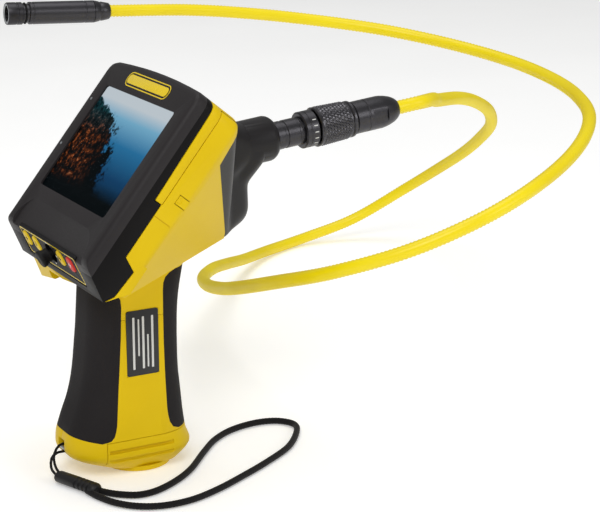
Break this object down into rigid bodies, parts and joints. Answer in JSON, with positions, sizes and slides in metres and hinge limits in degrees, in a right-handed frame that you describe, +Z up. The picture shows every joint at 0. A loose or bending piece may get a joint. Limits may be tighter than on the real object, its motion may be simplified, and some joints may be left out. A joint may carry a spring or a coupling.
{
  "type": "inspection camera",
  "caption": "Pistol-grip inspection camera with a detachable colour-screen console, a bendable yellow probe ending in a small lit camera head, and a wrist strap.",
  "frame": {"origin": "on the underside of the foot, on the tool's middle plane and under the middle of the handle, 6 mm behind the centre of the foot disc", "axes": "+Z up, +X the way the probe leaves the nose, +Y to the left of somebody who stands behind the screen"},
  "size_m": [0.36, 0.3557, 0.1801],
  "materials": {
    "bezel_black": "satin",
    "side_black": "satin",
    "yellow_plastic": "satin",
    "key_yellow": "satin",
    "key_red": "satin",
    "badge_yellow": "gloss",
    "light_grey": "gloss",
    "keypad_black": "satin",
    "knob_black": "matte",
    "inner_grey": "matte",
    "window_clear": "gloss",
    "lcd": "gloss",
    "circuit_green": "satin",
    "battery_foil": "satin",
    "steel": "brushed",
    "cell_shell": "satin",
    "gold_pin": "polished",
    "nose_black": "satin",
    "grip_rubber": "matte",
    "label_black": "satin",
    "socket_black": "anodised black",
    "plug_grey": "satin",
    "tube_yellow": "ribbed satin",
    "head_black": "anodised black",
    "tip_steel": "satin",
    "seal_black": "matte",
    "led_white": "satin",
    "led_lens": "gloss",
    "cord_black": "woven",
    "crimp_black": "satin"
  },
  "bodies": {
    "body": {"cradle": "yellow_plastic", "left_body": "yellow_plastic", "right_body": "yellow_plastic", "left_handle": "yellow_plastic", "right_handle": "yellow_plastic", "nose_cowl": "nose_black", "front_grip": "grip_rubber", "rear_grip": "grip_rubber", "side_label": "label_black", "body_screws": "steel", "radio_board": "circuit_green", "cell_holder": "inner_grey", "battery_cells": "cell_shell", "contact_springs": "steel", "strap_bar": "steel", "socket_tube": "socket_black", "socket_insert": "inner_grey", "contact_pins": "gold_pin", "index_ring": "socket_black", "strap_string": "cord_black", "strap_crimp": "crimp_black", "strap_cord": "cord_black"},
    "console": {"console_bezel": "bezel_black", "console_back": "side_black", "screen_window": "window_clear", "lcd_panel": "lcd", "console_board": "circuit_green", "console_battery": "battery_foil", "console_screws": "steel", "name_badge": "badge_yellow", "status_lights": "light_grey", "keypad_plate": "keypad_black", "key_switches": "inner_grey"},
    "left_outer_key": {"key_left_outer": "key_yellow"},
    "left_inner_key": {"key_left_inner": "key_yellow"},
    "right_inner_key": {"key_right_inner": "key_yellow"},
    "power_button": {"power_key": "key_red"},
    "rocker": {"joystick_rocker": "inner_grey"},
    "joystick": {"joystick_cap": "knob_black"},
    "left_latch": {"left_release": "yellow_plastic"},
    "right_latch": {"right_release": "yellow_plastic"},
    "cover": {"battery_cover": "yellow_plastic", "contact_plate": "steel", "round_foot": "yellow_plastic"},
    "probe": {"plug_core": "plug_grey", "plug_barrel": "socket_black", "crimp_sleeve": "gold_pin", "gooseneck_tube": "tube_yellow", "head_ferrule": "head_black", "head_barrel": "head_black", "seal_ring": "seal_black", "lens_window": "window_clear", "led_board": "led_white", "led_lamps": "led_lens", "camera_module": "inner_grey"},
    "collar": {"lock_collar": "socket_black"},
    "tip": {"tip_ring": "tip_steel"}
  },
  "joints": [
    {"name": "console_lift_off", "type": "slide", "parent": "body", "child": "console", "axis": [-0.7771, 0, 0.6293], "range_m": [0, 0.04]},
    {"name": "left_outer_key_press", "type": "slide", "parent": "console", "child": "left_outer_key", "axis": [0.9085, 0, 0.4179], "range_m": [0, 0.001], "stiffness_N_per_m": 300, "springref_m": -0.0005},
    {"name": "left_inner_key_press", "type": "slide", "parent": "console", "child": "left_inner_key", "axis": [0.9085, 0, 0.4179], "range_m": [0, 0.001], "stiffness_N_per_m": 300, "springref_m": -0.0005},
    {"name": "right_inner_key_press", "type": "slide", "parent": "console", "child": "right_inner_key", "axis": [0.9085, 0, 0.4179], "range_m": [0, 0.001], "stiffness_N_per_m": 300, "springref_m": -0.0005},
    {"name": "power_button_press", "type": "slide", "parent": "console", "child": "power_button", "axis": [0.9085, 0, 0.4179], "range_m": [0, 0.001], "stiffness_N_per_m": 300, "springref_m": -0.0005},
    {"name": "joystick_up_down", "type": "hinge", "parent": "console", "child": "rocker", "pos_m": [-0.02933, 0, 0.10387], "axis": [0, 1, 0], "range_deg": [-8, 8], "stiffness_Nm_per_rad": 0.02},
    {"name": "joystick_left_right", "type": "hinge", "parent": "rocker", "child": "joystick", "pos_m": [-0.02933, 0, 0.10387], "axis": [-0.4179, 0, 0.9085], "range_deg": [-8, 8], "stiffness_Nm_per_rad": 0.02},
    {"name": "left_latch_press", "type": "slide", "parent": "body", "child": "left_latch", "axis": [0, 1, 0], "range_m": [0, 0.0015], "stiffness_N_per_m": 300, "springref_m": -0.0005},
    {"name": "right_latch_press", "type": "slide", "parent": "body", "child": "right_latch", "axis": [0, -1, 0], "range_m": [0, 0.0015], "stiffness_N_per_m": 300, "springref_m": -0.0005},
    {"name": "battery_cover_slide", "type": "slide", "parent": "body", "child": "cover", "axis": [1, 0, 0], "range_m": [0, 0.01]},
    {"name": "probe_pull_out", "type": "slide", "parent": "body", "child": "probe", "axis": [0.9945, 0, 0.1045], "range_m": [0, 0.03]},
    {"name": "collar_turn", "type": "hinge", "parent": "probe", "child": "collar", "pos_m": [0.08, 0, 0.143], "axis": [0.9945, 0, 0.1045], "range_deg": [0, 360]},
    {"name": "tip_ring_turn", "type": "hinge", "parent": "probe", "child": "tip", "pos_m": [0.03525, 0.21088, 0.17395], "axis": [-0.9956, 0.0871, 0.0349], "range_deg": [0, 360]}
  ]
}
